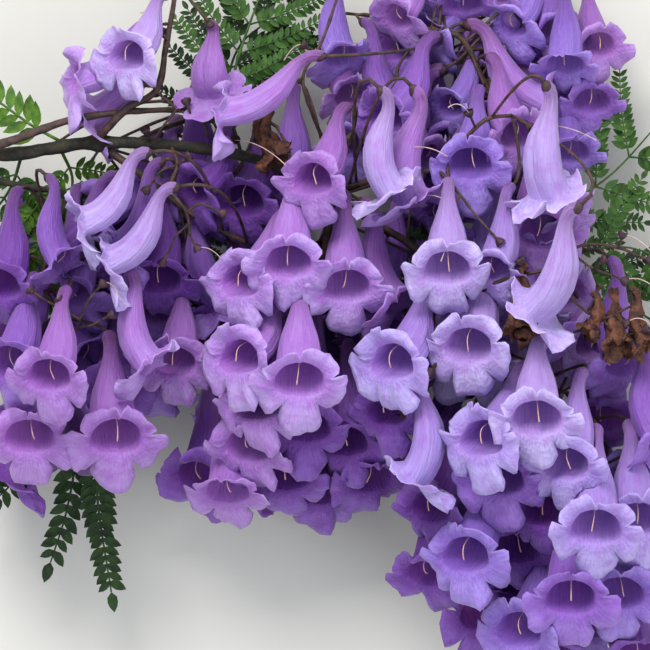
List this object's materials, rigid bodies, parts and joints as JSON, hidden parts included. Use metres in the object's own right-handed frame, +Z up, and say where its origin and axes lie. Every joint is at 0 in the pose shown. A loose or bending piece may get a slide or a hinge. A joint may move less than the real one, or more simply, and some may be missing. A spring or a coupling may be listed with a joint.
{
  "type": "flowering jacaranda branch",
  "caption": "Cut jacaranda branch laden with lavender trumpet flowers in hanging clusters, with fern-like green leaves, lying at rest.",
  "frame": {"origin": "middle of the branch's bounding box, at its lowest point, where its lowest petals touch the floor", "axes": "+X away from the cut end, along the branch; +Y across it, away from the way the flowers hang; +Z up, towards the side with the open flowers"},
  "size_m": [0.3264, 0.3122, 0.1196],
  "materials": {
    "bark": "rough brown bark, reddish on the thinner boughs",
    "petal": "soft matt lavender petals, violet inside the throat",
    "leaf": "satin green leaflets"
  },
  "bodies": {
    "root": {"bloom_left_1": "petal", "bloom_left_10": "petal", "bloom_left_13": "petal", "bloom_left_3": "petal", "bloom_left_6": "petal", "bloom_left_7": "petal", "bloom_left_8": "petal", "bloom_left_9": "petal", "bloom_mid_1": "petal", "bloom_mid_10": "petal", "bloom_mid_11": "petal", "bloom_mid_14": "petal", "bloom_mid_2": "petal", "bloom_mid_3": "petal", "bloom_mid_4": "petal", "bloom_mid_5": "petal", "bloom_mid_6": "petal", "bloom_mid_7": "petal", "bloom_mid_8": "petal", "bloom_mid_9": "petal", "bloom_right_1": "petal", "bloom_right_10": "petal", "bloom_right_11": "petal", "bloom_right_12": "petal", "bloom_right_14": "petal", "bloom_right_15": "petal", "bloom_right_16": "petal", "bloom_right_17": "petal", "bloom_right_2": "petal", "bloom_right_20": "petal", "bloom_right_3": "petal", "bloom_right_5": "petal", "bloom_right_6": "petal", "bloom_right_7": "petal", "bloom_right_8": "petal", "bloom_right_9": "petal", "bloom_top_1": "petal", "bloom_top_2": "petal", "bloom_top_3": "petal", "bloom_top_4": "petal", "bloom_top_5": "petal", "bough_back": "bark", "bough_far_right": "bark", "bough_left": "bark", "bough_right": "bark", "bough_top": "bark", "bough_upper": "bark", "branch_main": "bark", "leaf_left": "leaf", "leaf_low": "leaf", "leaf_low_left": "leaf", "leaf_right": "leaf", "leaf_top": "leaf", "leaf_under": "leaf", "panicle_back": "petal", "panicle_left": "petal", "panicle_lower": "petal", "panicle_mid": "petal", "panicle_right": "petal"}
  },
  "joints": []
}
